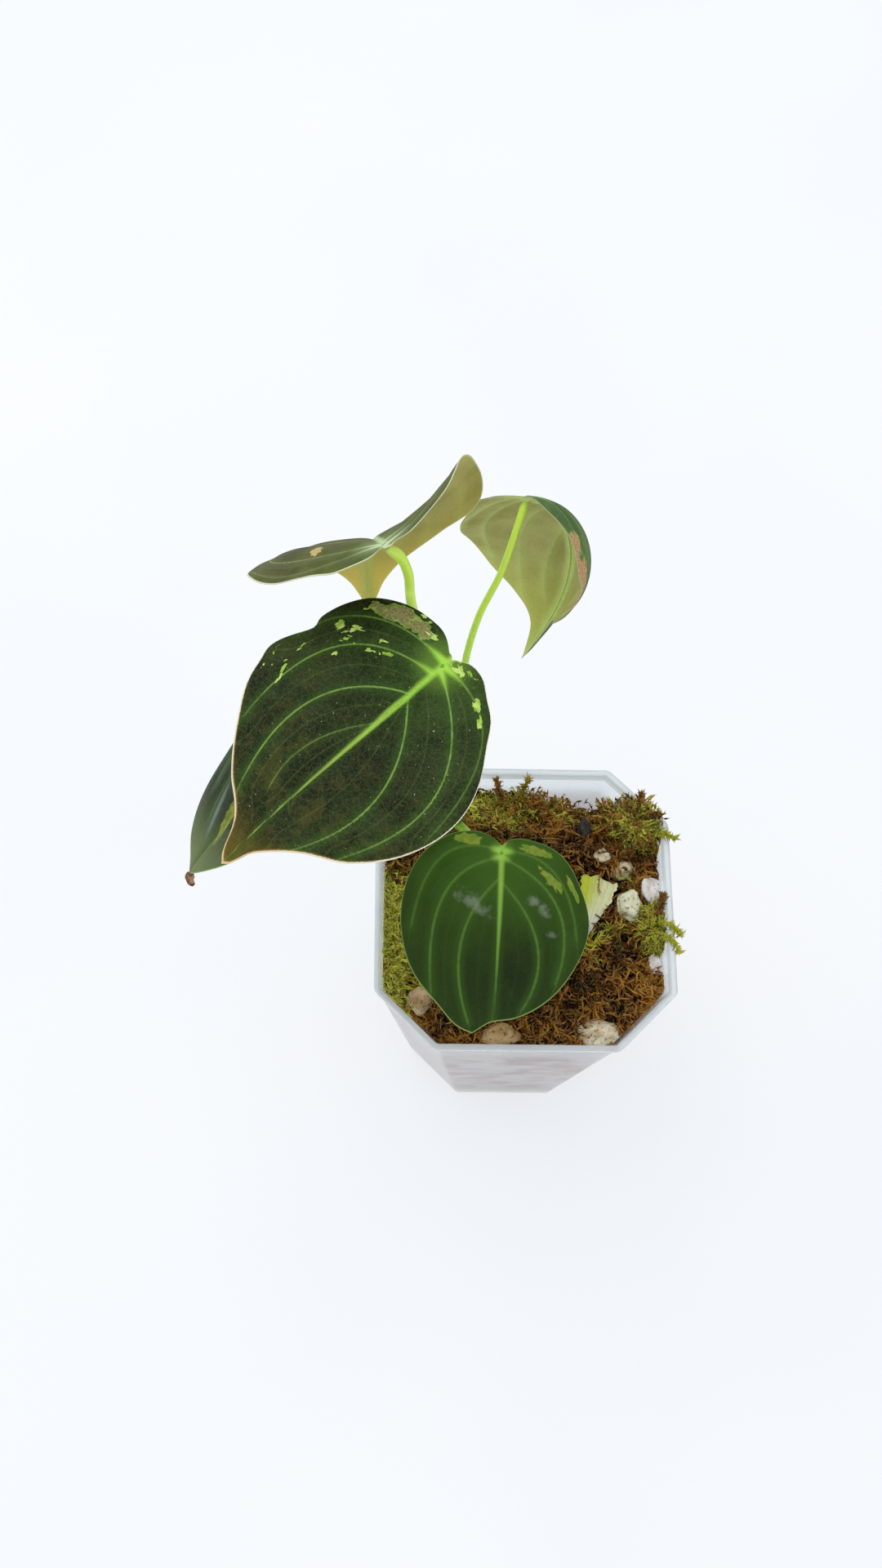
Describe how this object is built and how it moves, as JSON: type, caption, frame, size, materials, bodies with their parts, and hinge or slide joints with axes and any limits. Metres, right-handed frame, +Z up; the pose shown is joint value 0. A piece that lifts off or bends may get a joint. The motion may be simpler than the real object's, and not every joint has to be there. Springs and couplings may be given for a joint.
{
  "type": "potted variegated black gold philodendron",
  "caption": "Young climbing aroid with heart-shaped velvety leaves on thin stalks, standing in a clear eight-sided nursery pot of brown sphagnum moss.",
  "frame": {"origin": "middle of the pot's flat underside", "axes": "+Z up, +X to the right and -Y to the front, as the picture looks down on the pot from its front"},
  "size_m": [0.1264, 0.1084, 0.2298],
  "materials": {
    "pot_plastic": "clear, slightly milky",
    "brown_moss": "matt tangled fibres",
    "green_moss": "matt tangled fibres",
    "pumice": "rough, with small pores",
    "bark": "rough and dark",
    "dry_sheath": "thin, fading from lime yellow to white",
    "stem_skin": "satin green with rings",
    "stalk_skin": "satin lime green",
    "leaf_dark": "velvet, nearly black green with pale veins and lime and tan flecks",
    "leaf_fresh": "soft gloss, mid green with paler veins",
    "leaf_olive": "velvet olive green above, matt tan green below"
  },
  "bodies": {
    "root": {"pot": "pot_plastic", "moss": "brown_moss", "moss_green_left": "green_moss", "moss_green_back": "green_moss", "moss_green_corner": "green_moss", "moss_green_right": "green_moss", "stone_front": "pumice", "stone_peach": "pumice", "stone_left": "pumice", "stone_middle": "pumice", "stone_right": "pumice", "stone_edge": "pumice", "stone_far": "pumice", "stone_back": "pumice", "bark_chip": "bark", "old_sheath": "dry_sheath", "stem": "stem_skin", "stalk_low": "stalk_skin", "leaf_low": "leaf_fresh", "stalk_front": "stalk_skin", "leaf_front": "leaf_dark", "stalk_left": "stalk_skin", "leaf_left": "leaf_dark", "stalk_top": "stalk_skin", "leaf_top": "leaf_olive", "stalk_back": "stalk_skin", "leaf_back": "leaf_olive"}
  },
  "joints": []
}
